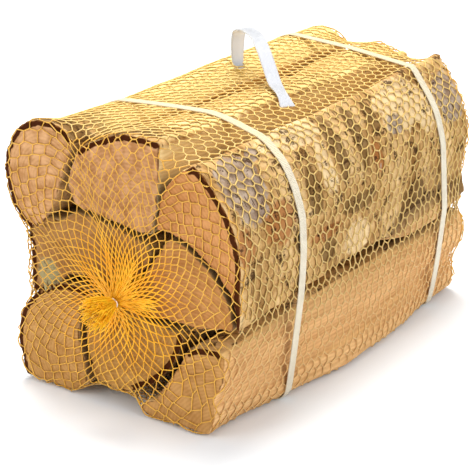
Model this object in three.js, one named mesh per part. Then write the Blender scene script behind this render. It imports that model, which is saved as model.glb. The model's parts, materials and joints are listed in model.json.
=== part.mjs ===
// A bundle of split birch firewood: eight logs in one knitted net that is gathered and clipped
// at both ends, with two flat straps round it and a carry handle on top.
// Millimetres, +Z up. X runs across the bundle, Y along the logs, and the front faces -Y.
import * as THREE from 'three';

// Driving dimensions of the bundle
const logLength = 330;
const rearWidth = 0.81; // width that the stack tapers towards, as a share of the front
const taperLength = 0.5; // share of the length over which most of the taper happens
const touchGap = 0.35; // gap between pieces that touch
const bandThickness = 0.8;
const strapWidth = 9;
const straps = { front: -85, rear: 123 }; // Y of each strap's middle
const strandWidth = 3.4;
const strandHeight = 1.5;
const strandHeightBelow = 0.9; // strands that lie under the logs are pressed flat
const netGap = 1.5; // room between logs and net, where the handle's feet slide in
const lift = touchGap + strandHeightBelow + touchGap + bandThickness; // logs above the ground
const frontY = -logLength / 2;

// Share of the length at each cross-section of a log
const stations = [0, 0.07, 0.25, 0.45, 0.65, 0.85, 1];

// Each log's outline on the front face, counter-clockwise: first the bark as an arc about the
// pith, then the corners of the split sides. Angles are in degrees, 0 to the right, 90 up.
// A log's section shrinks towards its anchor by swell, one value for each station.
const logs = {
  log_top_left: {
    bark: { pith: [-62, 152], radii: [39, 43], from: 48, to: 246, steps: 12 },
    split: [[-71, 115], [-62, 126], [-54, 140], [-47, 159], [-41, 172]],
    anchor: [-60, 148],
    swell: [1, 0.88, 0.87, 0.92, 0.97, 1, 0.98],
    rise: 5,
    recess: [0, 1],
    colour: 0xb79a7c,
  },
  log_top_middle: {
    bark: { pith: [20, 105], radii: [92, 92], from: 80, to: 127, steps: 5 },
    split: [[-42.5, 163], [-45, 151], [-39, 138], [-11, 134], [20, 130], [28, 132], [33, 153]],
    anchor: [-4, 134],
    swell: [1, 0.975, 0.94, 0.95, 0.93, 0.89, 0.86],
    rise: 0,
    recess: [1.5, 3],
    colour: 0xc29f78,
  },
  log_right: {
    bark: { pith: [20, 117], radii: [81, 82], from: 8, to: 58, steps: 7 },
    split: [[50, 177], [41, 168], [35.5, 156], [32, 136], [44, 136.5], [58, 132.5], [78, 120],
      [92, 105], [96, 94], [96.6, 80], [100, 79], [100.5, 100]],
    anchor: [66, 134],
    swell: [1, 0.97, 0.98, 0.96, 0.98, 0.97, 1],
    rise: 2,
    recess: [0, 0],
    colour: 0xb9a892,
  },
  log_centre: {
    bark: null,
    split: [[94, 80], [93, 91], [88.5, 102], [76, 117], [57, 129.5], [43, 133], [31, 117],
      [5, 81], [26, 73.5], [62, 74]],
    anchor: [52, 98],
    swell: [1, 0.98, 0.96, 0.97, 0.96, 0.96, 0.84],
    rise: 0,
    recess: [1, 4],
    colour: 0xcf9f66,
  },
  log_middle_left: {
    bark: { pith: [-20, 92], radii: [61, 61], from: 167, to: 200, steps: 3 },
    split: [[-62, 78.5], [-47, 86], [-33, 88.5], [-12, 87], [0, 83.5], [9, 90], [27, 115],
      [19, 124.5], [-11, 131], [-39, 134], [-57, 120.5]],
    anchor: [-24, 108],
    swell: [1, 0.97, 0.96, 0.97, 0.98, 0.96, 0.98],
    rise: 0,
    recess: [2.5, 0],
    colour: 0xcda06a,
  },
  log_bottom_left: {
    bark: { pith: [-38, 27], radii: [58, 54], from: 72, to: 184, steps: 8 },
    split: [[-92.5, 14], [-90, 0], [-45, 0], [-31, 8], [-33, 24], [-38, 42], [-36, 62]],
    anchor: [-60, 0],
    swell: [1, 0.98, 0.97, 0.98, 0.96, 0.98, 1],
    rise: 0,
    recess: [0, 2],
    colour: 0x9c7a58,
  },
  log_bottom_middle: {
    bark: { pith: [-14, 81], radii: [70, 70], from: 292, to: 346, steps: 5 },
    split: [[50, 68], [26, 70.5], [2, 77], [-11, 78], [-22, 72], [-31, 58], [-32.5, 42],
      [-28, 27], [-26, 14], [-8, 11.5], [8, 12.5]],
    anchor: [6, 52],
    swell: [1, 0.97, 0.98, 0.96, 0.97, 0.98, 0.97],
    rise: 0,
    recess: [1, 1],
    colour: 0xc99c62,
  },
  log_bottom_right: {
    bark: { pith: [84, -6], radii: [70, 70], from: 92, to: 112, steps: 3 },
    split: [[53, 50], [47, 40], [34, 21], [30, 14], [18, 9], [16, 2.5], [24, 0], [74, 0],
      [80, 13], [78.5, 26], [84, 36], [87, 44], [88, 60]],
    anchor: [52, 0],
    swell: [1, 0.99, 0.98, 0.99, 0.98, 0.99, 1],
    rise: 0,
    recess: [0, 1.5],
    colour: 0xd8ad72,
  },
};

// The lower right log's foot spreads to the right, most along the middle of its length
const foot = { middle: 18, end: 13, below: 60, rightOf: 30 };

// The right log has a waist low on its bark at the rear end
const waist = { height: 106, reach: 24, depth: 7, start: 0.8, rightOf: 88 };

const degrees = Math.PI / 180;
const mix = (a, b, share) => a + (b - a) * share;
const mixPoint = (a, b, share) => [mix(a[0], b[0], share), mix(a[1], b[1], share)];
const distance = (a, b) => Math.hypot(a[0] - b[0], a[1] - b[1]);

function outlineOf(log) {
  const points = [];
  if (log.bark) {
    const { pith, radii, from, to, steps } = log.bark;
    for (let i = 0; i <= steps; i += 1) {
      const angle = mix(from, to, i / steps) * degrees;
      points.push([pith[0] + radii[0] * Math.cos(angle), pith[1] + radii[1] * Math.sin(angle)]);
    }
  }
  return points.concat(log.split);
}

// How the whole stack changes along its length: it tapers, and the foot on the right spreads
function warp([x, z], share) {
  const taper = rearWidth + (1 - rearWidth) * Math.exp(-share / taperLength);
  const low = Math.max(0, 1 - z / foot.below);
  const right = Math.min(1, Math.max(0, (x - foot.rightOf) / foot.rightOf));
  const spread = foot.end * share + foot.middle * Math.sin(Math.PI * share) ** 2;
  return [x * taper + spread * low * right, z];
}

function ringAtStation(name, index) {
  const log = logs[name];
  const share = stations[index];
  return outlineOf(log).map((point) => {
    const shrunk = mixPoint(log.anchor, point, log.swell[index]);
    const [x, z] = warp(shrunk, share);
    let inward = 0;
    if (name === 'log_right' && point[0] > waist.rightOf) {
      const near = Math.max(0, 1 - Math.abs(z - waist.height) / waist.reach);
      inward = waist.depth * near * Math.max(0, (share - waist.start) / (1 - waist.start));
    }
    return [x - inward, z + log.rise * share + lift];
  });
}

const ringsOf = {};
for (const name of Object.keys(logs)) {
  ringsOf[name] = stations.map((_, index) => ringAtStation(name, index));
}

// A log's section anywhere along its length, on the straight lines between its stations
function ringAt(name, share) {
  const clamped = Math.min(1, Math.max(0, share));
  let index = 0;
  while (index < stations.length - 2 && stations[index + 1] < clamped) index += 1;
  const part = (clamped - stations[index]) / (stations[index + 1] - stations[index]);
  return ringsOf[name][index].map((point, i) => mixPoint(point, ringsOf[name][index + 1][i], part));
}

function geometryFrom(points, triangles) {
  const geometry = new THREE.BufferGeometry();
  geometry.setAttribute('position', new THREE.Float32BufferAttribute(points.flat(), 3));
  geometry.setIndex(triangles.flat());
  geometry.computeVertexNormals();
  return geometry;
}

// A closed body through rings that all have the same number of points. The rings turn
// counter-clockwise as seen from the first end.
function loft(rings) {
  const count = rings[0].length;
  const points = rings.flat();
  const triangles = [];
  for (let ring = 0; ring < rings.length - 1; ring += 1) {
    for (let i = 0; i < count; i += 1) {
      const a = ring * count + i;
      const b = ring * count + ((i + 1) % count);
      triangles.push([a, b + count, b], [a, a + count, b + count]);
    }
  }
  const flat = (ring) => ring.map(([x, , z]) => new THREE.Vector2(x, z));
  const last = (rings.length - 1) * count;
  for (const [a, b, c] of THREE.ShapeUtils.triangulateShape(flat(rings[0]), [])) triangles.push([a, b, c]);
  for (const [a, b, c] of THREE.ShapeUtils.triangulateShape(flat(rings[rings.length - 1]), [])) {
    triangles.push([a + last, c + last, b + last]);
  }
  return geometryFrom(points, triangles);
}

function logGeometry(name) {
  const [frontRecess, rearRecess] = logs[name].recess;
  const rings = stations.map((share, index) => {
    const y = mix(frontY + frontRecess, -frontY - rearRecess, share);
    return ringsOf[name][index].map(([x, z]) => [x, y, z]);
  });
  return loft(rings);
}

// The convex outline of a set of points, counter-clockwise
function hullOf(points) {
  const sorted = [...points].sort((a, b) => a[0] - b[0] || a[1] - b[1]);
  const turn = (o, a, b) => (a[0] - o[0]) * (b[1] - o[1]) - (a[1] - o[1]) * (b[0] - o[0]);
  const half = (list) => {
    const chain = [];
    for (const point of list) {
      while (chain.length > 1 && turn(chain.at(-2), chain.at(-1), point) <= 0) chain.pop();
      chain.push(point);
    }
    chain.pop();
    return chain;
  };
  return [...half(sorted), ...half(sorted.reverse())];
}

// Points at even steps along an open line
function evenSteps(line, count) {
  const lengths = [0];
  for (let i = 1; i < line.length; i += 1) lengths.push(lengths[i - 1] + distance(line[i - 1], line[i]));
  const total = lengths[lengths.length - 1];
  const points = [];
  for (let step = 0; step < count; step += 1) {
    const target = (total * step) / count;
    let i = 1;
    while (lengths[i] < target) i += 1;
    points.push(mixPoint(line[i - 1], line[i], (target - lengths[i - 1]) / (lengths[i] - lengths[i - 1])));
  }
  return points;
}

const wrapPoints = { round: 28, below: 8 };
const wrapCount = wrapPoints.round + wrapPoints.below;

// A closed line of wrapCount points round the hull, with points on its two lower corners,
// pushed out by gap, and by more where the straight stretches come nearer the hull than least
function wrapAround(points, gap, least) {
  const hull = hullOf(points);
  const farthest = (way) => hull.reduce((best, point, i) => (way(point) > way(hull[best]) ? i : best), 0);
  const right = farthest(([x, z]) => 0.8 * x - z);
  const left = farthest(([x, z]) => -0.8 * x - z);
  const run = (from, to) => {
    const line = [];
    for (let i = from; i !== to; i = (i + 1) % hull.length) line.push(hull[i]);
    return [...line, hull[to]];
  };
  const onHull = [
    ...evenSteps(run(right, left), wrapPoints.round),
    ...evenSteps(run(left, right), wrapPoints.below),
  ];
  const outward = onHull.map((_, i) => {
    const before = onHull[(i + wrapCount - 1) % wrapCount];
    const after = onHull[(i + 1) % wrapCount];
    const length = distance(before, after);
    return [(after[1] - before[1]) / length, (before[0] - after[0]) / length];
  });
  const push = onHull.map(() => gap);
  const place = (i) => [onHull[i][0] + outward[i][0] * push[i], onHull[i][1] + outward[i][1] * push[i]];
  for (let pass = 0; pass < 4; pass += 1) {
    for (let i = 0; i < wrapCount; i += 1) {
      const next = (i + 1) % wrapCount;
      const [a, b] = [place(i), place(next)];
      const along = [(b[0] - a[0]) / distance(a, b), (b[1] - a[1]) / distance(a, b)];
      for (const corner of hull) {
        const share = ((corner[0] - a[0]) * along[0] + (corner[1] - a[1]) * along[1]) / distance(a, b);
        const inside = (corner[1] - a[1]) * along[0] - (corner[0] - a[0]) * along[1];
        if (share > 0 && share < 1 && inside < least) {
          push[i] += least - inside;
          push[next] += least - inside;
        }
      }
    }
  }
  return onHull.map((_, i) => ({ point: place(i), outward: outward[i] }));
}

const stackAt = (y) => Object.keys(logs).flatMap((name) => ringAt(name, (y - frontY) / logLength));
const netFloor = lift - touchGap;
const netLeast = 1.2;

// The net as a coarse lattice of diamonds. Its rows run from the tie in front, over the front
// face, along the logs and over the rear face to the rear tie.
const bodyRows = 12;
const capShares = [0.22, 0.41, 0.6, 0.8];
const capGap = 0.7;
const capFrontY = logLength / 2 + capGap;
const coneHeight = 7;
const coneWall = 2;
const ties = { front: [4, 82 + lift], rear: [0, 88 + lift] };

// The net's gathered ends, a neck and then a pleated tuft: distance beyond the cone, radius,
// how much the pleats stand in and out, and how far it leans to the left and droops
const tuftRings = [
  { beyond: 1, radius: 3.1, pleat: 0.2, lean: 0, droop: 0 },
  { beyond: 4.4, radius: 3.1, pleat: 0.2, lean: 0, droop: 0.2 },
  { beyond: 11, radius: 7, pleat: 1.2, lean: 0.6, droop: 1.2 },
  { beyond: 17, radius: 10, pleat: 2.2, lean: 1.6, droop: 3 },
  { beyond: 21, radius: 8.5, pleat: 3, lean: 2.4, droop: 4.2 },
];
const tuftTip = { beyond: 17, lean: 2, droop: 3.5 };
const clip = { beyond: 2.7, radius: 4.8, wire: 1, steps: 16, wireSteps: 6 };

// Strands lie flat on the ground side, so neither face of one goes lower than its floor there
function strandPoint({ point: [x, z], outward }, y, way) {
  return {
    base: [x, y + way * capGap, Math.max(z, netFloor)],
    top: [
      x + outward[0] * strandHeight,
      y + way * (capGap + strandHeight),
      Math.max(z + outward[1] * strandHeight, netFloor - strandHeightBelow),
    ],
  };
}

function rowAt(y, way) {
  return wrapAround(stackAt(y), netGap, netLeast).map((place) => strandPoint(place, y, way));
}

function capRow(rim, tie, share, way) {
  const cone = coneHeight * 0.25 * Math.max(0, 1 - share / capShares[1]);
  return rim.map(({ base }) => {
    const [x, z] = mixPoint(tie, [base[0], base[2]], share);
    return { base: [x, base[1] + way * cone, z], top: [x, base[1] + way * (cone + strandHeight), z] };
  });
}

function netRows() {
  const front = rowAt(frontY, -1);
  const rear = rowAt(-frontY, 1);
  const rows = capShares.map((share) => capRow(front, ties.front, share, -1));
  rows.push(front);
  for (let i = 1; i < bodyRows; i += 1) rows.push(rowAt(mix(frontY, -frontY, i / bodyRows), 0));
  rows.push(rear);
  for (const share of [...capShares].reverse()) rows.push(capRow(rear, ties.rear, share, 1));
  return rows;
}

// The corner of an open cell's hole. It moves in from the strands' crossing along the bisector
// of the two strands, or straight across the cell where the net bends, and never inwards.
function insetPoint({ base, top }, before, across, after) {
  const at = new THREE.Vector3(...base);
  const outward = new THREE.Vector3(...top).sub(at).normalize();
  const towards = (point) => new THREE.Vector3(...point).sub(at);
  const bisector = towards(before).normalize().add(towards(after).normalize()).normalize();
  const straight = towards(across).normalize();
  const way = bisector.dot(outward) > straight.dot(outward) ? bisector : straight;
  const inward = Math.max(0, -way.dot(outward));
  way.addScaledVector(outward, inward).normalize();
  const halfWay = towards(before).add(towards(after)).length() / 2;
  const [x, y, z] = at.addScaledVector(way, Math.min(strandWidth * 0.7, halfWay * 0.45) * (1 - inward));
  return [x, y, Math.max(z, netFloor - strandHeightBelow / 2)];
}

// Cells are lists of corners, counter-clockwise from outside. An open cell leaves a hole with
// a strand along each side, and a filled one goes on over the rings of a tuft to its tip.
function latticeGeometry(corners, cells) {
  const points = corners.map(({ top }) => top);
  const triangles = [];
  const addPoint = (point) => points.push(point) - 1;
  const addTriangle = (a, b, c) => {
    if (a !== b && b !== c && a !== c) triangles.push([a, b, c]);
  };
  const rims = cells.map(({ around, tuft }) => {
    if (tuft) {
      const centre = addPoint(tuft.base);
      return new Map(around.map((corner) => [corner, centre]));
    }
    return new Map(around.map((corner, i) => {
      const [before, across, after] = [3, 2, 1].map((step) => corners[around[(i + step) % 4]].base);
      return [corner, addPoint(insetPoint(corners[corner], before, across, after))];
    }));
  });
  const nextIn = new Map();
  const key = (a, b) => `${a} ${b}`;
  cells.forEach(({ around }, cell) => {
    around.forEach((corner, i) => nextIn.set(key(corner, around[(i + 1) % around.length]), cell));
  });
  cells.forEach(({ around, tuft }, cell) => {
    const rings = tuft ? [around, ...tuft.rings.map((ring) => ring.map(addPoint))] : [];
    const tip = tuft ? addPoint(tuft.tip) : null;
    around.forEach((a, i) => {
      const next = (i + 1) % around.length;
      const b = around[next];
      const rim = rims[cell];
      if (tuft) {
        for (let ring = 1; ring < rings.length; ring += 1) {
          addTriangle(rings[ring - 1][i], rings[ring - 1][next], rings[ring][next]);
          addTriangle(rings[ring - 1][i], rings[ring][next], rings[ring][i]);
        }
        addTriangle(rings[rings.length - 1][i], rings[rings.length - 1][next], tip);
      } else {
        addTriangle(a, b, rim.get(b));
        addTriangle(a, rim.get(b), rim.get(a));
      }
      const other = nextIn.get(key(b, a));
      if (cell < other) {
        addTriangle(rim.get(a), rim.get(b), rims[other].get(b));
        addTriangle(rim.get(a), rims[other].get(b), rims[other].get(a));
      }
    });
  });
  corners.forEach((_, corner) => {
    const start = cells.findIndex(({ around }) => around.includes(corner));
    const fan = [];
    let cell = start;
    do {
      fan.push(rims[cell].get(corner));
      const { around } = cells[cell];
      const before = around[(around.indexOf(corner) + around.length - 1) % around.length];
      cell = nextIn.get(key(corner, before));
    } while (cell !== start);
    for (let i = 1; i < fan.length - 1; i += 1) addTriangle(fan[0], fan[i + 1], fan[i]);
  });
  return geometryFrom(points, triangles);
}

function netLattice() {
  const rows = netRows();
  const half = wrapCount / 2;
  const corners = [];
  rows.forEach((row, r) => {
    for (let i = 0; i < half; i += 1) corners.push(row[(2 * i + (r % 2)) % wrapCount]);
  });
  const at = (r, i) => r * half + ((i + half) % half);
  const cells = [];
  for (let r = 0; r < rows.length - 2; r += 1) {
    const shift = r % 2;
    for (let i = 0; i < half; i += 1) {
      cells.push({ around: [at(r, i), at(r + 1, i + shift - 1), at(r + 2, i), at(r + 1, i + shift)] });
    }
  }
  const tuftOver = (around, tie, way) => {
    const at = ({ beyond, lean = 0, droop = 0 }, radius = 0, angle = 0) => [
      tie[0] + radius * Math.cos(angle) - lean,
      way * (capFrontY + coneHeight + beyond),
      tie[1] + radius * Math.sin(angle) - droop,
    ];
    const rings = tuftRings.map((ring) => around.map((corner, i) => {
      const [x, , z] = corners[corner].base;
      const radius = ring.radius + (i % 2 ? -ring.pleat : ring.pleat);
      return at(ring, radius, Math.atan2(z - tie[1], x - tie[0]));
    }));
    return { base: at({ beyond: -coneWall }), rings, tip: at(tuftTip) };
  };
  const frontPole = [];
  const rearPole = [];
  const last = rows.length - 1;
  for (let i = 0; i < half; i += 1) {
    frontPole.push(at(0, i), at(1, i));
    rearPole.push(at(last, -i), at(last - 1, (last % 2) - i - 1));
  }
  cells.push({ around: frontPole, tuft: tuftOver(frontPole, ties.front, -1) });
  cells.push({ around: rearPole, tuft: tuftOver(rearPole, ties.rear, 1) });
  return latticeGeometry(corners, cells);
}

function clipGeometry(tie, way) {
  const ring = new THREE.TorusGeometry(clip.radius, clip.wire, clip.wireSteps, clip.steps);
  ring.rotateX(Math.PI / 2);
  return ring.translate(tie[0], way * (capFrontY + coneHeight + clip.beyond), tie[1]);
}

// A band through rings of four points. It comes back to its first ring, or ends in flat faces.
function bandGeometry(rings, closed) {
  const triangles = [];
  const last = (rings.length - 1) * 4;
  for (let index = 0; index < rings.length - (closed ? 0 : 1); index += 1) {
    const [here, there] = [index * 4, ((index + 1) % rings.length) * 4];
    for (let i = 0; i < 4; i += 1) {
      const next = (i + 1) % 4;
      triangles.push([here + i, there + next, there + i], [here + i, here + next, there + next]);
    }
  }
  if (!closed) {
    triangles.push([0, 2, 1], [0, 3, 2]);
    triangles.push([last, last + 1, last + 2], [last, last + 2, last + 3]);
  }
  return geometryFrom(rings.flat(), triangles);
}

// A strap lies over the straight strands between the net's rows, and flat on the ground
function strapGeometry(y) {
  const pitch = logLength / bodyRows;
  const first = Math.floor((y - strapWidth / 2 - frontY) / pitch);
  const last = Math.ceil((y + strapWidth / 2 - frontY) / pitch);
  const under = [];
  for (let i = first; i <= last; i += 1) {
    for (const { top } of rowAt(frontY + i * pitch, 0)) under.push([top[0], top[2]]);
  }
  const line = wrapAround(under, touchGap, touchGap);
  const rings = line.map(({ point: [x, z], outward }, i) => {
    const below = i >= wrapPoints.round || i === 0;
    const innerZ = below ? bandThickness : Math.max(z, bandThickness);
    const outerX = x + outward[0] * bandThickness;
    const outerZ = below ? 0 : Math.max(z + outward[1] * bandThickness, 0);
    const [near, far] = [y - strapWidth / 2, y + strapWidth / 2];
    return [[x, near, innerZ], [outerX, near, outerZ], [outerX, far, outerZ], [x, far, innerZ]];
  });
  return bandGeometry(rings, true);
}

// The handle is a flat band that stands in an upright plane through its two feet. Its line gives
// the distance from the left foot, the height and the width; both ends hook in under the net.
const handle = {
  feet: [[-43, 30], [43, -28]],
  thickness: 1.2,
  widthAngles: [85, 57], // directions of the width at the left foot and from the top on
  steps: 30,
  line: [
    [13, 197.4, 17],
    [3, 197.4, 12],
    [-0.4, 202, 12],
    [-0.6, 214, 13],
    [3, 224, 13.5],
    [14, 228.2, 13.5],
    [28, 229.2, 13.5],
    [40, 227.8, 13.5],
    [52, 222, 13.5],
    [64, 212.5, 13.5],
    [77, 202, 13],
    [88, 198.6, 10.5],
    [94, 196, 11],
    [101, 191.4, 14],
  ],
};

function handleGeometry() {
  const curve = new THREE.CatmullRomCurve3(handle.line.map((point) => new THREE.Vector3(...point)));
  const [left, right] = handle.feet;
  const way = [(right[0] - left[0]) / distance(left, right), (right[1] - left[1]) / distance(left, right)];
  const rings = [];
  for (let step = 0; step <= handle.steps; step += 1) {
    const share = step / handle.steps;
    const at = curve.getPointAt(share);
    const tangent = curve.getTangentAt(share);
    const slope = Math.atan2(tangent.y, tangent.x);
    const angle = mix(...handle.widthAngles, Math.min(1, share * 2)) * degrees;
    const place = (side, layer) => {
      const along = at.x - (Math.sin(slope) * layer * handle.thickness) / 2;
      const across = (side * at.z) / 2;
      return [
        left[0] + way[0] * along + Math.cos(angle) * across,
        left[1] + way[1] * along + Math.sin(angle) * across,
        at.y + (Math.cos(slope) * layer * handle.thickness) / 2,
      ];
    };
    rings.push([place(1, 1), place(-1, 1), place(-1, -1), place(1, -1)]);
  }
  return bandGeometry(rings, false);
}

const group = new THREE.Group();

function addPiece(name, geometry, colour, roughness, metalness) {
  const material = new THREE.MeshStandardMaterial({ color: colour, roughness, metalness });
  const mesh = new THREE.Mesh(geometry, material);
  mesh.name = name;
  group.add(mesh);
}

for (const name of Object.keys(logs)) addPiece(name, logGeometry(name), logs[name].colour, 0.85, 0);
addPiece('net', netLattice(), 0xe0b040, 0.6, 0);
addPiece('clip_front', clipGeometry(ties.front, -1), 0xc8ccd0, 0.35, 1);
addPiece('clip_rear', clipGeometry(ties.rear, 1), 0xc8ccd0, 0.35, 1);
addPiece('strap_front', strapGeometry(straps.front), 0xf5f0e0, 0.45, 0);
addPiece('strap_rear', strapGeometry(straps.rear), 0xf5f0e0, 0.45, 0);
addPiece('handle', handleGeometry(), 0xf8f8fa, 0.4, 0);

// The bundle stands on the ground with the middle of its box over the origin
const box = new THREE.Box3().setFromObject(group);
const middle = box.getCenter(new THREE.Vector3());
for (const piece of group.children) piece.geometry.translate(-middle.x, -middle.y, -box.min.z);

export default group;
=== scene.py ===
import json
import math
import random

import bmesh
import bpy
import numpy as np
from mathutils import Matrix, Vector, noise
from mathutils.bvhtree import BVHTree
from mathutils.kdtree import KDTree


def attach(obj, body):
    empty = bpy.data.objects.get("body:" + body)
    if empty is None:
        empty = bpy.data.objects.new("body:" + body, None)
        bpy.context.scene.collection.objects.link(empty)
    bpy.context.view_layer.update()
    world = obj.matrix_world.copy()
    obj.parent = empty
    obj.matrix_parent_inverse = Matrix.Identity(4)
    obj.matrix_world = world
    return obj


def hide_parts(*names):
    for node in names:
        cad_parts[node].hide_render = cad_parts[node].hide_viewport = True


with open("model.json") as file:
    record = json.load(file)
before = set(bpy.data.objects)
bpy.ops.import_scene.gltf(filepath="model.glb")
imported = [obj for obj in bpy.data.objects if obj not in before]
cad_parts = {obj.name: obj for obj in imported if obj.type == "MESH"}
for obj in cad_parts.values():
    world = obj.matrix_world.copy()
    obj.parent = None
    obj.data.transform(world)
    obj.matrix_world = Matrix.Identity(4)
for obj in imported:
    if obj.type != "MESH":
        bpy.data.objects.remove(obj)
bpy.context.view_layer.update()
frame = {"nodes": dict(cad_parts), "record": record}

mm = 0.001

# Lengths along the logs, and how the whole stack narrows and spreads from front to rear
stack = {
    "length": 330 * mm,
    "lift": 2.4 * mm,
    "centre": 0.4 * mm,
    "stations": [0, 0.07, 0.25, 0.45, 0.65, 0.85, 1],
    "rearWidth": 0.81,
    "taper": 0.5,
    "footMiddle": 18 * mm,
    "footEnd": 13 * mm,
    "footBelow": 60 * mm,
    "footRightOf": 30 * mm,
}


def deselectAll():
    if bpy.context.object and bpy.context.object.mode != "OBJECT":
        bpy.ops.object.mode_set(mode="OBJECT")
    bpy.ops.object.select_all(action="DESELECT")


def activate(piece):
    deselectAll()
    piece.select_set(True)
    bpy.context.view_layer.objects.active = piece


# One edit-mode operator on the whole of a piece
def editAll(piece, operator, **settings):
    activate(piece)
    bpy.ops.object.mode_set(mode="EDIT")
    bpy.ops.mesh.select_all(action="SELECT")
    operator(**settings)
    bpy.ops.object.mode_set(mode="OBJECT")


def applyModifier(piece, kind, **settings):
    activate(piece)
    modifier = piece.modifiers.new(kind.title(), kind)
    for setting, value in settings.items():
        setattr(modifier, setting, value)
    bpy.ops.object.modifier_apply(modifier=modifier.name)


def pointsOf(piece):
    flat = np.empty(len(piece.data.vertices) * 3)
    piece.data.vertices.foreach_get("co", flat)
    return flat.reshape(-1, 3)


def normalsOf(piece):
    flat = np.empty(len(piece.data.vertices) * 3)
    piece.data.vertices.foreach_get("normal", flat)
    return flat.reshape(-1, 3)


def movePoints(piece, points):
    piece.data.vertices.foreach_set("co", np.ascontiguousarray(points, dtype=float).ravel())
    piece.data.update()


def storeNumbers(piece, name, numbers):
    layer = piece.data.attributes.new(name, "FLOAT", "POINT")
    layer.data.foreach_set("value", np.ascontiguousarray(numbers, dtype=np.float32))


def smoothStep(low, high, value):
    share = np.clip((value - low) / (high - low), 0, 1)
    return share * share * (3 - 2 * share)


# Camera and room

view = {
    "place": (0.6544, -0.933, 0.4985),
    "tilt": 20.2,
    "turn": 36,
    "lens": 124.16,
}


def makeCamera():
    bpy.ops.object.camera_add(
        location=view["place"],
        rotation=(math.radians(90 - view["tilt"]), 0, math.radians(view["turn"])),
    )
    camera = bpy.context.object
    camera.name = "view_camera"
    camera.data.lens = view["lens"]
    camera.data.sensor_width = 36
    bpy.context.scene.camera = camera


room = {
    "floorSize": 9,
    "floor": (0.90, 0.94, 0.99),
    "world": (0.9, 0.95, 1.0),
    "worldStrength": 0.75,
    "lamps": [
        # name, place, size, power, colour
        ("lamp_above", (-0.35, 0.35, 1.7), 1.1, 38, (1.0, 0.95, 0.87)),
        ("lamp_front", (-0.9, -1.9, 1.1), 1.4, 14, (1.0, 0.94, 0.86)),
        ("lamp_side", (2.0, -0.5, 1.1), 1.4, 15, (1.0, 0.95, 0.88)),
    ],
}


# Shader maths as plain expressions: a Wire is an output of a node

class Wire:
    def __init__(self, shader, socket):
        self.shader = shader
        self.socket = socket

    def math(self, operation, *values):
        return self.shader.node("Math", {"operation": operation}, dict(enumerate(values)))

    def __add__(self, other):
        return self.math("ADD", self, other)

    __radd__ = __add__

    def __sub__(self, other):
        return self.math("SUBTRACT", self, other)

    def __rsub__(self, other):
        return self.math("SUBTRACT", other, self)

    def __mul__(self, other):
        return self.math("MULTIPLY", self, other)

    __rmul__ = __mul__

    def __truediv__(self, other):
        return self.math("DIVIDE", self, other)

    def abs(self):
        return self.math("ABSOLUTE", self)

    def sine(self):
        return self.math("SINE", self)

    def most(self, other):
        return self.math("MAXIMUM", self, other)

    def step(self, low, high):
        return self.shader.node("MapRange", {"interpolation_type": "SMOOTHSTEP"},
                                {"Value": self, "From Min": low, "From Max": high})


class Shader:
    def __init__(self, name):
        self.material = bpy.data.materials.new(name)
        self.material.use_nodes = True
        self.tree = self.material.node_tree
        self.tree.nodes.clear()
        self.place = self.node("TexCoord", out="Object")

    def node(self, kind, settings=None, sockets=None, out=0):
        node = self.tree.nodes.new("ShaderNode" + kind)
        for setting, value in (settings or {}).items():
            if setting == "stops":
                while len(node.color_ramp.elements) < len(value):
                    node.color_ramp.elements.new(0.5)
                for element, (position, colour) in zip(node.color_ramp.elements, value):
                    element.position = position
                    element.color = (*colour, 1)
            else:
                setattr(node, setting, value)
        for name, value in (sockets or {}).items():
            slot = node.inputs[name]
            if isinstance(value, Wire):
                self.tree.links.new(value.socket, slot)
            elif hasattr(value, "__len__") and len(value) == 3 and slot.type == "RGBA":
                slot.default_value = (*value, 1)
            else:
                slot.default_value = value
        return Wire(self, node.outputs[out])

    def attribute(self, name):
        return self.node("Attribute", {"attribute_name": name}, out="Fac")

    def scaled(self, scale, vector=None):
        return self.node("VectorMath", {"operation": "MULTIPLY"}, {0: vector or self.place, 1: scale})

    def noise(self, scale, detail=3, roughness=0.55, vector=None, stretch=(1, 1, 1)):
        return self.node("TexNoise", None, {
            "Vector": self.scaled(stretch, vector), "Scale": scale, "Detail": detail,
            "Roughness": roughness,
        })

    def cells(self, scale, vector, stretch):
        return self.node("TexVoronoi", None, {"Vector": self.scaled(stretch, vector), "Scale": scale},
                         "Distance")

    def mix(self, share, first, second):
        return self.node("Mix", {"data_type": "RGBA"}, {0: share, 6: first, 7: second}, 2)

    def ramp(self, value, *stops):
        return self.node("ValToRGB", {"stops": stops}, {0: value})

    def tinted(self, colour, tint):
        return self.node("Mix", {"data_type": "RGBA", "blend_type": "MULTIPLY"},
                         {0: 1.0, 6: colour, 7: tint}, 2)

    def bump(self, height, distance, strength):
        return self.node("Bump", None, {"Height": height, "Distance": distance, "Strength": strength})

    def parts(self, vector=None):
        split = self.tree.nodes.new("ShaderNodeSeparateXYZ")
        self.tree.links.new((vector or self.place).socket, split.inputs[0])
        return [Wire(self, output) for output in split.outputs]

    # The surface's direction as three numbers
    def facing(self):
        return self.parts(self.node("NewGeometry", out="Normal"))

    def finish(self, sockets):
        surface = self.node("BsdfPrincipled", None, sockets)
        output = self.tree.nodes.new("ShaderNodeOutputMaterial")
        self.tree.links.new(surface.socket, output.inputs[0])
        return self.material


def dress(piece, material):
    piece.data.materials.clear()
    piece.data.materials.append(material)


def handIn(piece, slot, *nodes):
    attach(piece, "root")
    if nodes:
        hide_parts(*nodes)


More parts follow.
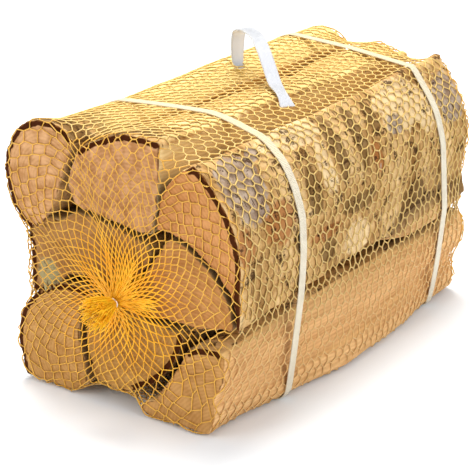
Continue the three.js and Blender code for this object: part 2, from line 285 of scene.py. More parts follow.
def makeRoom():
    bpy.ops.mesh.primitive_plane_add(size=room["floorSize"])
    floor = bpy.context.object
    floor.name = "studio_floor"
    paint = Shader("studio_floor")
    dress(floor, paint.finish({"Base Color": room["floor"], "Roughness": 0.9}))
    world = bpy.data.worlds.new("studio")
    world.use_nodes = True
    sky = world.node_tree.nodes["Background"]
    sky.inputs[0].default_value = (*room["world"], 1)
    sky.inputs[1].default_value = room["worldStrength"]
    bpy.context.scene.world = world
    for name, place, size, power, colour in room["lamps"]:
        bpy.ops.object.light_add(type="AREA", location=place)
        lamp = bpy.context.object
        lamp.name = name
        lamp.data.shape = "DISK"
        lamp.data.size = size
        lamp.data.energy = power
        lamp.data.color = colour
        lamp.rotation_euler = (Vector((0, 0, 0.1)) - Vector(place)).to_track_quat("-Z", "Y").to_euler()
    bpy.context.scene.view_settings.view_transform = "Standard"


makeCamera()
makeRoom()
print("camera and room")


# Logs. The pith, the radii, the bark's first and last angle and the anchor that the log swells from
# are those of the front face, in mm and degrees. Bulges and mould are at a place on that face.

logs = {
    "log_top_left": {
        "pith": (-62, 152), "radii": (39, 43), "bark": (48, 246), "anchor": (-60, 148), "rise": 5,
        "paintedTopLight": ((0.90, 0.70, 0.27), 0.78, -0.15), "gapShadeShare": 0.4, "blotch": 1.1,
        "swell": [1, 0.88, 0.87, 0.92, 0.97, 1, 0.98], "tint": (1.08, 1.08, 0.98), "seed": 3,
        "patches": {
            "dark": [(-152, 80, 14, 60), (-124, 70, 9, 24)],
            "pale": [(-60, 90, 60, 60), (60, 100, 90, 60)],
        },
    },
    "log_top_middle": {
        "pith": (20, 105), "radii": (92, 92), "bark": (80, 127), "anchor": (-4, 134), "rise": 0,
        "bulges": [((-14, 192), 42, 7, 60), ((38, 194), 14, 3, 60)],
        "paintedTopLight": ((0.86, 0.64, 0.25), 0.6, -0.158), "gapShadeShare": 0.4, "blotch": 1.6,
        "sideTint": (1.08, 1.34, 1.5),
        "swell": [1, 0.975, 0.94, 0.95, 0.93, 0.89, 0.86], "tint": (1.15, 1.16, 1.08), "seed": 11,
        "patches": {
            "dark": [(-150, 110, 18, 40), (-20, 118, 60, 14)],
            "stain": [(0, 108, 110, 30)],
            "pale": [(-90, 90, 40, 20)],
        },
    },
    "log_right": {
        "pith": (20, 117), "radii": (81, 82), "bark": (-32, 60), "anchor": (66, 134), "rise": 2,
        "paintedTopLight": ((0.40, 0.20, 0.07), 0.08, -0.2), "bulges": [((58, 190), 16, 3, 60)],
        "swell": [1, 0.97, 0.98, 0.96, 0.98, 0.97, 1], "tint": (1.04, 0.88, 0.62), "seed": 17,
        "patches": {
            # along from the middle, angle, reach along, reach round
            "grey": [(-134, 38, 27, 27), (-107, 51, 9, 6), (146, 33, 18, 24), (64, 32, 11, 9)],
            "stain": [(-110, 14, 22, 17), (-154, 12, 12, 16), (-48, -4, 26, 5), (29, 22, 7, 14)],
            "dark": [(-61, 20, 11, 20), (-17, 34, 10, 32), (-4, 3, 28, 8), (13, 34, 9, 32),
                     (39, 41, 7, 18), (80, -16, 24, 22), (-46, -14, 12, 10), (-86, 2, 8, 10)],
            "pale": [(82, 41, 36, 24), (-52, 51, 26, 14), (-85, 52, 16, 8), (-4, -15, 20, 13),
                     (108, 34, 18, 22), (-37, 28, 10, 24)],
        },
    },
    "log_centre": {
        "pith": (60, 40), "radii": (95, 95), "bark": None, "anchor": (52, 98), "rise": 0,
        "bulges": [((94, 66), 44, 10, 20)],
        "swell": [1, 0.98, 0.96, 0.97, 0.96, 0.96, 0.84], "tint": (1.0, 0.89, 0.58), "seed": 23,
    },
    "log_middle_left": {
        "pith": (-20, 92), "radii": (61, 61), "bark": (165, 202), "anchor": (-24, 108), "rise": 0,
        "bulges": [((-70, 117), 22, 9.5, -300), ((-66, 77), 20, 8, -300)],
        "mould": ((-65, 83), 13), "tint": (0.80, 0.76, 0.53),
        "swell": [1, 0.97, 0.96, 0.97, 0.98, 0.96, 0.98], "seed": 29,
    },
    "log_bottom_left": {
        "pith": (-38, 27), "radii": (58, 54), "bark": (72, 212), "anchor": (-60, 0), "rise": 0,
        "swell": [1, 0.98, 0.97, 0.98, 0.96, 0.98, 1], "tint": (0.94, 0.92, 0.60), "seed": 31,
    },
    "log_bottom_middle": {
        "pith": (-14, 81), "radii": (70, 70), "bark": (290, 348), "anchor": (6, 52), "rise": 0,
        "swell": [1, 0.97, 0.98, 0.96, 0.97, 0.98, 0.97], "tint": (0.88, 0.86, 0.48), "seed": 37,
    },
    "log_bottom_right": {
        "pith": (84, -6), "radii": (70, 70), "bark": (90, 114), "anchor": (52, 0), "rise": 0,
        "bulges": [((102, 56), 36, 9, 50)], "sideTint": (1.12, 1.08, 1.06),
        "swell": [1, 0.99, 0.98, 0.99, 0.98, 0.99, 1], "tint": (0.92, 0.88, 0.58), "seed": 41,
    },
}

surface = {
    "voxel": 2.0 * mm,
    "lowest": 1.8 * mm,
    "barkDeep": 1.1 * mm,
    "barkFine": 0.35 * mm,
    "splitDeep": 1.0 * mm,
    "splitFine": 0.45 * mm,
    "sawn": 0.15 * mm,
    # how far the painted shade in the gaps between logs reaches
    "crevice": 9 * mm,
    "merge": 0.01 * mm,
    "sharpNear": 6 * mm,
    "bulgeBegins": 60,
}


# Where each point of a log would lie on its outline at the front face, in mm
def backToOutline(log, points):
    x = (points[:, 0] - stack["centre"]) / mm
    share = np.clip(points[:, 1] / stack["length"] + 0.5, 0, 1)
    height = (points[:, 2] - stack["lift"]) / mm - log["rise"] * share
    taper = stack["rearWidth"] + (1 - stack["rearWidth"]) * np.exp(-share / stack["taper"])
    spread = stack["footEnd"] / mm * share + stack["footMiddle"] / mm * np.sin(math.pi * share) ** 2
    across = x / taper
    for _ in range(4):
        low = np.clip(1 - height / (stack["footBelow"] / mm), 0, None)
        right = np.clip((across * mm - stack["footRightOf"]) / stack["footRightOf"], 0, 1)
        across = (x - spread * low * right) / taper
    swell = np.interp(share, stack["stations"], log["swell"])
    return (log["anchor"][0] + (across - log["anchor"][0]) / swell,
            log["anchor"][1] + (height - log["anchor"][1]) / swell)


def noiseAt(points, scale, seed, octaves=1):
    place = Vector((seed * 7.3, seed * 3.1, seed * 5.7))
    scaled = points * np.array(scale)
    if octaves == 1:
        return np.array([noise.noise(Vector(p) + place) for p in scaled])
    return np.array([noise.fractal(Vector(p) + place, 0.8, 2.1, octaves) for p in scaled])


# On the sawn ends, the distance to the outline and whether that side has bark
def storeRim(piece, points, endFace, sideBark):
    side = np.nonzero(endFace < 0.5)[0]
    tree = KDTree(len(side))
    for place, index in enumerate(side):
        tree.insert(points[index], place)
    tree.balance()
    distance = np.zeros(len(points))
    bark = sideBark.copy()
    for index in np.nonzero(endFace >= 0.5)[0]:
        _, place, far = tree.find(points[index])
        distance[index] = far / mm
        bark[index] = sideBark[side[place]]
    storeNumbers(piece, "rimDistance", distance)
    storeNumbers(piece, "rimBark", bark)


# The CAD log with small even faces, and its long edges a little rounded
def logMesh(name):
    source = frame["nodes"][name]
    piece = bpy.data.objects.new(name + "_wood", source.data.copy())
    bpy.context.collection.objects.link(piece)
    editAll(piece, bpy.ops.mesh.remove_doubles, threshold=surface["merge"])
    applyModifier(piece, "REMESH", mode="VOXEL", voxel_size=surface["voxel"])
    side = piece.vertex_groups.new(name="side")
    inner = np.abs(pointsOf(piece)[:, 1]) < stack["length"] / 2 - surface["sharpNear"]
    side.add([int(i) for i in np.nonzero(inner)[0]], 1, "REPLACE")
    applyModifier(piece, "SMOOTH", factor=0.5, iterations=5, vertex_group="side")
    return piece


# How far each point stands out: flaky bark, torn fibres on the split sides, saw marks on the ends
def roughness(seed, points, around, bark, endFace):
    rough = noiseAt(around, (60, 28, 60), seed, 3) * surface["barkDeep"]
    rough += noiseAt(around, (170, 330, 0), seed + 1) * surface["barkFine"]
    fibres = noiseAt(points, (150, 9, 150), seed + 2) * surface["splitDeep"]
    steps = noiseAt(points, (55, 5, 55), seed + 3) * 4
    fibres += (np.round(steps * 2) / 2 - steps) * surface["splitDeep"] * 0.8
    fibres += noiseAt(points, (420, 22, 420), seed + 4) * surface["splitFine"]
    height = bark * rough + (1 - bark) * (1 - endFace) * fibres
    return height + endFace * noiseAt(points, (90, 0, 600), seed + 5) * surface["sawn"]


# Patches of other bark, at a place along from the middle and an angle, in mm and degrees
def storePatches(piece, log, along, angle, meanRadius):
    for kind in ("grey", "stain", "dark", "pale"):
        cover = np.zeros(len(along))
        for middle, turn, reachAlong, reachRound in log.get("patches", {}).get(kind, []):
            away = np.hypot((along - middle) / reachAlong,
                            np.radians(angle - turn) * meanRadius / mm / reachRound)
            cover = np.maximum(cover, 1 - smoothStep(0.45, 1.3, away))
        storeNumbers(piece, kind + "Patch", cover)


def makeLog(name, log):
    piece = logMesh(name)
    points = pointsOf(piece)
    normals = normalsOf(piece)
    outX, outZ = backToOutline(log, points)
    overX = (outX - log["pith"][0]) / log["radii"][0]
    overZ = (outZ - log["pith"][1]) / log["radii"][1]
    radius = np.hypot(overX, overZ)
    angle = np.degrees(np.arctan2(overZ, overX))
    endFace = smoothStep(0.6, 0.85, np.abs(normals[:, 1]))
    bark = np.zeros(len(points))
    sector = np.zeros(len(points))
    if log["bark"]:
        first, last = log["bark"]
        fromMiddle = np.abs((angle - (first + last) / 2 + 180) % 360 - 180)
        sector = 1 - smoothStep((last - first) / 2 - 1, (last - first) / 2 + 2, fromMiddle)
        bark = sector * smoothStep(0.93, 0.97, radius) * (1 - endFace)
    meanRadius = sum(log["radii"]) / 2 * mm
    arc = np.radians(angle) * meanRadius
    around = np.stack([arc, points[:, 1], radius * meanRadius], axis=1)
    height = roughness(log["seed"], points, around, bark, endFace)
    for (bulgeX, bulgeZ), reach, push, start in log.get("bulges", []):
        near = 1 - smoothStep(reach * 0.3, reach, np.hypot(outX - bulgeX, outZ - bulgeZ))
        near *= smoothStep(start, start + surface["bulgeBegins"], points[:, 1] / mm)
        height += near * (1 - endFace) * push * mm
    points = points + normals * height[:, None]
    points[:, 2] = np.maximum(points[:, 2], surface["lowest"])
    movePoints(piece, points)
    storeNumbers(piece, "barkCover", bark)
    storeNumbers(piece, "ringRadius", radius * meanRadius / mm)
    storeNumbers(piece, "aroundArc", arc)
    storeRim(piece, points, endFace, sector * smoothStep(0.9, 0.95, radius))
    (mouldX, mouldZ), reach = log.get("mould", ((999, 999), 1))
    fromMould = np.hypot(outX - mouldX, outZ - mouldZ) / reach
    storeNumbers(piece, "mould", 1 - smoothStep(0.4, 1.3, fromMould))
    storePatches(piece, log, points[:, 1] / mm, angle, meanRadius)
    activate(piece)
    bpy.ops.object.shade_smooth()
    return piece


# All the wood as one surface, to find the place on it nearest to a point. With a longer reach the
# logs go on past their sawn ends.
def joinedTree(pieces, longer=0):
    points, faces = [], []
    for piece in pieces:
        first = len(points)
        own = pointsOf(piece)
        own[:, 1] += np.sign(own[:, 1]) * longer * (np.abs(own[:, 1]) > stack["length"] / 2 - 3 * mm)
        points += [Vector(point) for point in own]
        faces += [[first + index for index in face.vertices] for face in piece.data.polygons]
    return BVHTree.FromPolygons(points, faces)


# How closely each point of a log faces another log, for painted shade in the gaps between logs
def storeCreviceShade(piece, others):
    tree = joinedTree(others)
    near = []
    for vert in piece.data.vertices:
        _, _, _, far = tree.find_nearest(vert.co + vert.normal * 3 * mm, surface["crevice"])
        near.append(1 if far is None else far / surface["crevice"])
    storeNumbers(piece, "crevice", 1 - smoothStep(0.15, 1, np.array(near)))


woods = {name: makeLog(name, log) for name, log in logs.items()}
for piece in woods.values():
    storeCreviceShade(piece, [other for other in woods.values() if other != piece])
print("logs shaped", sum(len(piece.data.polygons) for piece in woods.values()))


timber = {
    "end": [(0.40, 0.19, 0.075), (0.62, 0.35, 0.185)],
    "side": [(0.50, 0.27, 0.10), (0.76, 0.49, 0.23)],
    # paler colour for split sides that face up: painted light
    "topLitSplitSide": (0.88, 0.62, 0.26),
    "ringGap": 2.6,
    "innerBark": (0.055, 0.012, 0.001),
    "outerBark": (0.19, 0.070, 0.018),
    "barkLayer": 4.4,
    "mould": [(0.42, 0.42, 0.22), (0.16, 0.15, 0.09)],
    # dark rim of the sawn ends where the side has no bark: partly dirt on the sawn edge, partly painted
    # shade from the gaps between logs
    "edge": (0.10, 0.035, 0.012),
    # painted shade in the gaps between logs
    "gap": (0.05, 0.02, 0.008),
    "bark": {
        "cracks": (0.04, 0.015, 0.006),
        "brown": (0.22, 0.105, 0.028),
        "tan": (0.51, 0.30, 0.112),
        "cream": (0.76, 0.53, 0.26),
        "grey": [(0.18, 0.13, 0.11), (0.42, 0.35, 0.31)],
        "stain": (0.36, 0.13, 0.035),
        "dark": (0.13, 0.065, 0.018),
        "pale": (0.86, 0.66, 0.38),
        "patchEdge": {"pale": (0.25, 0.6), "stain": (0.35, 0.7), "grey": (0.3, 0.5), "dark": (0.4, 0.65)},
    },
}


# Rings, clouds and saw marks, with mould on one log
def sawnEnds(paint, log, offset, rings, saw):
    cloud = paint.noise(35, 4, vector=offset)
    blotch = paint.noise(110, 3, vector=offset)
    endTone = cloud * 0.7 + rings * 0.12 + saw * 0.3 + (blotch - 0.5) * log.get("blotch", 0.55)
    tinted = [tuple(np.multiply(colour, log["tint"])) for colour in timber["end"]]
    colour = paint.mix(endTone.step(0.25, 0.85), *tinted)
    mould = (paint.attribute("mould") + (cloud - 0.5) * 1.2).step(0.3, 0.7) * 0.65
    specks = paint.noise(260, 4, 0.7, vector=offset).step(0.52, 0.6)
    return paint.mix(mould, colour, paint.mix(specks, *timber["mould"]))


# Fibres along the log. Sides that face up are painted paler: painted light on the top.
def splitSides(paint, log, offset, rings, streak, upward):
    broad = paint.noise(42, 3, vector=offset, stretch=(1, 0.12, 1))
    sideTone = streak * 0.5 + broad * 0.45 + rings * 0.1
    colour = paint.mix(sideTone.step(0.3, 0.75), *timber["side"])
    # painted light: split sides that face up are painted paler
    colour = paint.mix(upward.step(0.3, 0.9) * 0.6, colour, timber["topLitSplitSide"])
    return paint.tinted(colour, log.get("sideTint", (1, 1, 1)))


# Tan papery skin, in bands round the log, with rough patches. Dark marks the dashes and cracks.
def barkSkin(paint, log, skin, mottle, upward):
    bark = timber["bark"]
    bands = paint.noise(34, 4, vector=skin, stretch=(0.35, 1, 1))
    flakes = paint.noise(48, 5, 0.65, vector=skin)
    tone = bands * 0.55 + mottle * 0.3 + flakes * 0.25
    colour = paint.ramp(tone, (0.42, bark["brown"]), (0.52, bark["tan"]), (0.66, bark["cream"]))
    edge = (flakes - 0.5) * 1.6 + (mottle - 0.5) * 0.9
    shades = {"pale": bark["pale"], "stain": bark["stain"],
              "grey": paint.mix(mottle.step(0.35, 0.65), *bark["grey"]), "dark": bark["dark"]}
    for kind, shade in shades.items():
        patch = (paint.attribute(kind + "Patch") + edge).step(*bark["patchEdge"][kind]) * 0.8
        colour = paint.mix(patch, colour, shade)
    dashes = paint.cells(240, vector=skin, stretch=(0.32, 1.6, 0))
    dash = (1 - dashes.step(0.16, 0.3)) * paint.noise(60, 2, vector=skin).step(0.46, 0.58)
    cracks = paint.noise(120, 5, 0.7, vector=skin, stretch=(1, 0.6, 1))
    dark = (dash * 0.8).most((1 - cracks.step(0.36, 0.44)) * 0.9)
    colour = paint.mix(dark, colour, bark["cracks"])
    # painted light: bark that faces up, away from the front end, is painted paler; on log_right it is
    # painted a little darker, painted shade
    if "paintedTopLight" in log:
        topLightColour, share, begins = log["paintedTopLight"]
        topLightFrom = (paint.parts()[1] + (flakes - 0.5) * 0.05).step(begins, begins + 0.05)
        colour = paint.mix(topLightFrom * upward.step(0.1, 0.55) * share, colour, topLightColour)
    return colour, dark


def woodMaterial(name, log):
    paint = Shader(name)
    offset = paint.node("VectorMath", {"operation": "ADD"},
                        {0: paint.place, 1: (log["seed"] * 0.37, 0, log["seed"] * 0.11)})
    _, endways, upward = paint.facing()
    end = endways.abs().step(0.62, 0.8)
    ring = paint.attribute("ringRadius")
    wobble = paint.noise(28, 3, vector=offset)
    rings = ((ring / timber["ringGap"] + wobble * 2.2) * 6.283).sine() * 0.5 + 0.5
    saw = paint.noise(200, 2, vector=offset, stretch=(0.12, 0.1, 1))
    streak = paint.noise(230, 4, vector=offset, stretch=(1, 0.05, 1))
    wood = paint.mix(end, splitSides(paint, log, offset, rings, streak, upward),
                     sawnEnds(paint, log, offset, rings, saw))
    skin = paint.node("CombineXYZ", None,
                      {0: paint.attribute("aroundArc"), 1: paint.parts()[1], 2: ring * 0.001})
    mottle = paint.noise(110, 4, vector=skin)
    barkColour, dark = barkSkin(paint, log, skin, mottle, upward)
    cover = paint.attribute("barkCover").step(0.3, 0.7)

    # The bark's thickness, seen on the sawn ends: dark inside, brown and flaky outside
    depth = paint.attribute("rimDistance") + (paint.noise(150, 3, vector=offset) - 0.5) * 2.4
    rim = end * paint.attribute("rimBark").step(0.35, 0.65)
    layer = rim * (1 - depth.step(timber["barkLayer"] - 0.5, timber["barkLayer"] + 0.2))
    layerColour = paint.mix(depth.step(0.5, 1.3), timber["outerBark"], timber["innerBark"])
    colour = paint.mix(layer, wood, layerColour)
    colour = paint.mix(cover * (1 - end), colour, barkColour)
    # dark rim of the sawn ends: partly dirt on the sawn edge, partly painted shade from the gaps between
    # logs
    rimDirtAndShade = end * (1 - depth.step(0.2, 1.5)) * (1 - rim) * 0.85
    colour = paint.mix(rimDirtAndShade, colour, timber["edge"])
    # painted shade: sides that face another log are painted darker
    gap = paint.attribute("crevice") * (1 - end) * log.get("gapShadeShare", 0.75)
    colour = paint.mix(gap, colour, timber["gap"])

    grain = streak * 0.8 + paint.noise(700, 2, vector=offset, stretch=(1, 0.04, 1)) * 0.5
    endGrain = saw * 0.5 + paint.noise(900, 2, vector=offset) * 0.5 + rings * 0.1
    woodHeight = grain * (1 - end) + endGrain * end * 0.5
    barkHeight = mottle * 0.6 - dark * 0.5 + paint.noise(420, 3, vector=skin) * 0.4
    height = woodHeight * (1 - cover) + barkHeight * cover - layer * 0.3
    return paint.finish({
        "Base Color": colour,
        "Roughness": 0.8 + cover * 0.1,
        "Normal": paint.bump(height, 0.0009, 0.8),
        "Specular IOR Level": 0.08,
    })


slots = {part["node"]: part["material_slot"] for part in frame["record"]["subparts"]}
for name, piece in woods.items():
    dress(piece, woodMaterial(name + "_wood", logs[name]))
    handIn(piece, slots[name], name)
print("wood and bark")


# Net: a tube of knitted cells that is drawn in to a tie at each end

net = {
    "flat": (0.685, 0.525),
    "columns": 98,
    "rows": 60,
    "gridColumns": 96,
    "gridBody": 66,
    "gridEnd": 14,
    "fineSteps": 480,
    "link": [0.04, 0.1, 0.14, 0.2, 0.3, 0.3],
    "linkAt": [0, 0.08, 0.16, 0.2, 0.3, 0.5],
    "jitter": 0.12,
    "shear": 1.6,
    "twist": 0.035,
    "crowd": (0.12, 0.12),
    "thread": 1.45 * mm,
    "clearance": 0.65 * mm,
    "ties": {"front": (4.4, 84.4), "rear": (0.4, 90.4)},
    "lowest": 1.2 * mm,
    "neck": 3.0 * mm,
    "cone": 7.5 * mm,
    "alongPull": 1.0,
    "hoopPull": 0.5,
    "endPull": 5 * mm,
    "reachOn": 60 * mm,
    "rounds": 46,
    "thinOnBody": 0.88,
    "thinAtEnds": 0.7,
    "bunches": ((0.42, 0.055), (0.262, 0.06)),
    "bunchWidth": 0.13,
    # count round the net, start and size of waves
    "foldWaves": ((13, 1.3, 1), (21, 0.4, 0.7)),
    "foldPush": 0.0045,
    "liftWaves": ((13, 2.2, 1), (29, 0, 0.6)),
    "liftLeast": 1.4,
    "lift": 0.7 * mm,
    "straw": [(0.58, 0.375, 0.115), (0.66, 0.455, 0.165)],
    # paler colour for threads that face up: painted light
    "upward": (0.78, 0.55, 0.155),
    "low": (0.74, 0.45, 0.18),
    "ochre": [(0.70, 0.36, 0.045), (0.82, 0.46, 0.07)],
    "orange": [(0.90, 0.40, 0.01), (1.0, 0.52, 0.02)],
}


def hullOf(points):
    ordered = sorted(map(tuple, points))
    chains = []
    for line in (ordered, ordered[::-1]):
        chain = []
        for p in line:
            while len(chain) > 1 and ((chain[-1][0] - chain[-2][0]) * (p[1] - chain[-2][1])
                                      - (chain[-1][1] - chain[-2][1]) * (p[0] - chain[-2][0])) <= 0:
                chain.pop()
            chain.append(p)
        chains.append(chain[:-1])
    return np.array(chains[0] + chains[1])


# Even points round the hull of what lies near a place along the logs, from the middle below
def hullRow(cloud, y, reach, count, gap):
    near = cloud[np.abs(cloud[:, 1] - y) < reach]
    hull = hullOf(near[:, [0, 2]])
    closed = np.vstack([hull, hull[:1]])
    # turn the list so that it starts on the lowest side
    lengths = np.concatenate([[0], np.cumsum(np.hypot(*np.diff(closed, axis=0).T))])
    fine = np.linspace(0, lengths[-1], count * 8, endpoint=False)
    line = np.stack([np.interp(fine, lengths, closed[:, k]) for k in (0, 1)], axis=1)
    low = line[:, 1] < line[:, 1].min() + 3 * mm
    start = int(np.argmin(np.where(low, np.abs(line[:, 0]), 9)))
    line = np.roll(line, -start, axis=0)[::8]
    after = np.roll(line, -1, axis=0) - np.roll(line, 1, axis=0)
    outward = np.stack([after[:, 1], -after[:, 0]], axis=1) / np.hypot(*after.T)[:, None]
    line = line + outward * gap
    return np.stack([line[:, 0], np.full(count, y), line[:, 1]], axis=1), outward


# The tube of net round the logs, as rows of points from front to rear
def startTube(cloud):
    half = stack["length"] / 2
    rows = []
    for k in range(net["gridBody"] + 1):
        y = -half + stack["length"] * k / net["gridBody"]
        sampled = min(max(y, -half + 4 * mm), half - 4 * mm)
        row, _ = hullRow(cloud, sampled, 4 * mm, net["gridColumns"], net["clearance"] * 1.2)
        row[:, 1] = y
        rows.append(row)
    return np.array(rows)


# Any point nearer to the wood than the gap moves out to it
def pushOut(tree, points, gap, sideways=False):
    for index, point in enumerate(points):
        asked = Vector(point)
        place, normal, _, far = tree.find_nearest(asked, 30 * mm)
        if place is None:
            continue
        away = asked - place
        if away.dot(normal) < 0:
            moved = place + normal * gap
        elif far < gap:
            moved = place + (away.normalized() if far > 1e-6 else normal) * gap
        else:
            continue
        points[index] = (moved.x, point[1], moved.z) if sideways else moved
    return points


# Tension draws the tube in between the logs, most of all at its ends, which run to the ties
def pullTight(tree, tube):
    pull = net["alongPull"] + net["hoopPull"]
    for _ in range(net["rounds"]):
        beyond = []
        for end, rim in (("front", tube[0]), ("rear", tube[-1])):
            tie = net["ties"][end]
            spoke = np.array([tie[0] * mm, 0, tie[1] * mm]) - rim
            spoke[:, 1] = 0
            beyond.append(rim + spoke / np.linalg.norm(spoke, axis=1)[:, None] * net["endPull"])
        padded = np.concatenate([beyond[:1], tube, beyond[1:]])
        along = padded[:-2] + padded[2:] - 2 * tube
        hoop = np.roll(tube, 1, axis=1) + np.roll(tube, -1, axis=1) - 2 * tube
        move = (along * net["alongPull"] + hoop * net["hoopPull"]) / pull * 0.5
        tube[:, :, [0, 2]] += move[:, :, [0, 2]]
        flat = tube.reshape(-1, 3)
        flat[:, 2] = np.maximum(flat[:, 2], net["lowest"])
        tube = pushOut(tree, flat, net["clearance"], sideways=True).reshape(tube.shape)
    return tube


# Both ends of the tube fold over the rim and run to their ties
def closeEnds(tube):
    half = stack["length"] / 2
    ends = []
    for way, rim, tie in ((-1, tube[0], net["ties"]["front"]), (1, tube[-1], net["ties"]["rear"])):
        cap = []
        for k in range(net["gridEnd"] + 1):
            share = (k / net["gridEnd"]) ** 0.9
            middle = np.array([tie[0] * mm, 0, tie[1] * mm])
            spoke = rim - middle
            spoke[:, 1] = 0
            reach = np.hypot(spoke[:, 0], spoke[:, 2])[:, None]
            outer = reach - 0.3 * mm
            place = middle + spoke / reach * (net["neck"] + (outer - net["neck"]) * share)
            place[:, 1] = way * (half + net["clearance"] + net["cone"] * np.exp(-share * 7))
            cap.append(place)
        ends.append(cap)
    return np.array(ends[0] + list(tube) + ends[1][::-1])


# Steps of even length along each column, with the lengths evened out between neighbours
def evenSteps(grid):
    far = np.linalg.norm(np.diff(grid, axis=0), axis=2)
    lengths = np.vstack([np.zeros(grid.shape[1]), np.cumsum(far, axis=0)])
    for _ in range(12):
        lengths = (lengths + np.roll(lengths, 1, axis=1) + np.roll(lengths, -1, axis=1)) / 3
    shares = np.linspace(0, 1, net["fineSteps"] + 1)
    fine = np.empty((len(shares), grid.shape[1], 3))
    for column in range(grid.shape[1]):
        along = lengths[:, column] / lengths[-1, column]
        for k in range(3):
            fine[:, column, k] = np.interp(shares, along, grid[:, column, k])
    return fine


# The cells as knitted, on a round tube whose height counts rows. Every other column is half a
# row further on, and each cell has a short thread across at both its ends.
def knitCells():
    columns = net["columns"]
    mesh = bmesh.new()
    left, right = {}, {}
    for column in range(columns):
        for row in range(net["rows"]):
            level = row + 0.5 * (column % 2)
            fromEnd = 0.5 - abs(level / (net["rows"] - 0.5) - 0.5)
            link = np.interp(fromEnd, net["linkAt"], net["link"])
            for ends, way in ((left, -1), (right, 1)):
                turn = (column + way * link) / columns * 2 * math.pi
                ends[column, row] = mesh.verts.new((math.cos(turn), math.sin(turn), level))
    for column in range(columns):
        before, after = (column - 1) % columns, (column + 1) % columns
        for row in range(net["rows"] - 1):
            beside = row + column % 2
            mesh.faces.new((left[column, row], right[column, row], left[after, beside],
                            right[column, row + 1], left[column, row + 1], right[before, beside]))
    loose = [vert for vert in mesh.verts if not vert.link_faces]
    bmesh.ops.delete(mesh, geom=loose, context="VERTS")
    data = bpy.data.meshes.new("net_threads")
    mesh.to_mesh(data)
    mesh.free()
    piece = bpy.data.objects.new("net_threads", data)
    bpy.context.collection.objects.link(piece)
    return piece


def waves(turn, terms):
    return sum(size * np.sin(turn * 2 * math.pi * count + start) for count, start, size in terms)


# Where the points of the knitted tube lie on the net, and how near they are to a tie
def onNet(knitted, fine):
    turn = np.arctan2(knitted[:, 1], knitted[:, 0]) / (2 * math.pi) % 1
    level = knitted[:, 2] / (net["rows"] - 0.5)
    nearTie = smoothStep(0.32, 0.5, np.abs(level - 0.5))
    loops = np.stack([np.cos(turn * 2 * math.pi) * 9, np.sin(turn * 2 * math.pi) * 9,
                      knitted[:, 2] * 0.4], axis=1)
    stray = net["jitter"] * (1 - nearTie * 0.7)
    column = turn * net["columns"] + (noiseAt(loops * 2.7, 1, 1) + noiseAt(loops, 1, 2) * 1.6) * stray * 1.6
    row = knitted[:, 2] + (noiseAt(loops * 2.1, 1, 4) * 1.4 + noiseAt(loops, 1, 6) * 2) * stray
    # the rows lean forward on top, and the columns crowd on the upper right
    body = 1 - smoothStep(0.3, 0.5, np.abs(level - 0.5))
    row += net["shear"] * np.cos(turn * 2 * math.pi) * body
    turn = column / net["columns"] + net["twist"] * (level - 0.5)
    once, twice = net["crowd"]
    place = (turn - 0.12) * 2 * math.pi
    turn += (once * np.sin(place) + twice / 2 * np.sin(place * 2)) / (2 * math.pi)
    # near the ties they bunch into thick folds
    closeness = smoothStep(0.42, 0.5, np.abs(level - 0.5))
    for middle, strength in net["bunches"]:
        away = (turn - middle + 0.5) % 1 - 0.5
        near = np.exp(-(away / net["bunchWidth"]) ** 2) * closeness
        turn -= 2 * strength * near * np.sin(away * 2 * math.pi)
    turn += waves(turn, net["foldWaves"]) * closeness * net["foldPush"]
    place = (turn % 1) * net["gridColumns"]
    before = np.floor(place).astype(int) % net["gridColumns"]
    after = (before + 1) % net["gridColumns"]
    across = (place - np.floor(place))[:, None]
    height = np.clip(row / (net["rows"] - 0.5), 0, 1) * net["fineSteps"]
    below = np.clip(np.floor(height).astype(int), 0, net["fineSteps"] - 1)
    upward = (height - below)[:, None]
    mapped = ((fine[below, before] * (1 - across) + fine[below, after] * across) * (1 - upward)
              + (fine[below + 1, before] * (1 - across) + fine[below + 1, after] * across) * upward)
    lifted = (waves(turn, net["liftWaves"]) + net["liftLeast"]) * closeness * net["lift"]
    mapped[:, 1] += np.sign(mapped[:, 1]) * lifted
    return mapped, nearTie


# Threads that cross from the side onto an end get a point more, so that they bend round the rim
def bendAtRims(piece, fine):
    mapped, _ = onNet(pointsOf(piece), fine)
    rim = stack["length"] / 2 - 0.1 * mm
    outside = np.abs(mapped[:, 1]) > rim
    mesh = bmesh.new()
    mesh.from_mesh(piece.data)
    mesh.verts.ensure_lookup_table()
    crossing = [edge for edge in mesh.edges if outside[edge.verts[0].index] != outside[edge.verts[1].index]]
    for edge in crossing:
        vert = edge.verts[0]
        for parts in (4, 3, 2):
            _, vert = bmesh.utils.edge_split(edge, vert, 1 / parts)
    mesh.to_mesh(piece.data)
    mesh.free()


def makeNet(cloud, tree):
    longTree = joinedTree(woods.values(), net["reachOn"])
    grid = closeEnds(pullTight(longTree, startTube(cloud)))
    fine = evenSteps(grid)
    piece = knitCells()
    bendAtRims(piece, fine)
    mapped, nearTie = onNet(pointsOf(piece), fine)
    movePoints(piece, pushOut(tree, mapped, net["clearance"]))
    storeNumbers(piece, "nearTie", nearTie)
    onEnd = smoothStep(stack["length"] / 2 - 14 * mm, stack["length"] / 2, np.abs(mapped[:, 1]))
    storeNumbers(piece, "onEnd", onEnd)
    thick = piece.vertex_groups.new(name="thick")
    weights = net["thinOnBody"] + (net["thinAtEnds"] - net["thinOnBody"]) * onEnd
    weights += (1 - weights) * smoothStep(0.5, 1, nearTie)
    for index, weight in enumerate(weights):
        thick.add([index], float(weight), "REPLACE")
    editAll(piece, bpy.ops.mesh.normals_make_consistent, inside=False)
    applyModifier(piece, "WIREFRAME", thickness=net["thread"], use_even_offset=False, use_boundary=True,
                  use_replace=True, offset=0, vertex_group="thick", thickness_vertex_group=0)
    activate(piece)
    bpy.ops.object.shade_smooth()
    return piece, grid


woodTree = joinedTree(woods.values())
cloud = np.vstack([pointsOf(piece) for piece in woods.values()])
netPiece, netGrid = makeNet(cloud, woodTree)
print("net", sum(len(face.vertices) - 2 for face in netPiece.data.polygons))


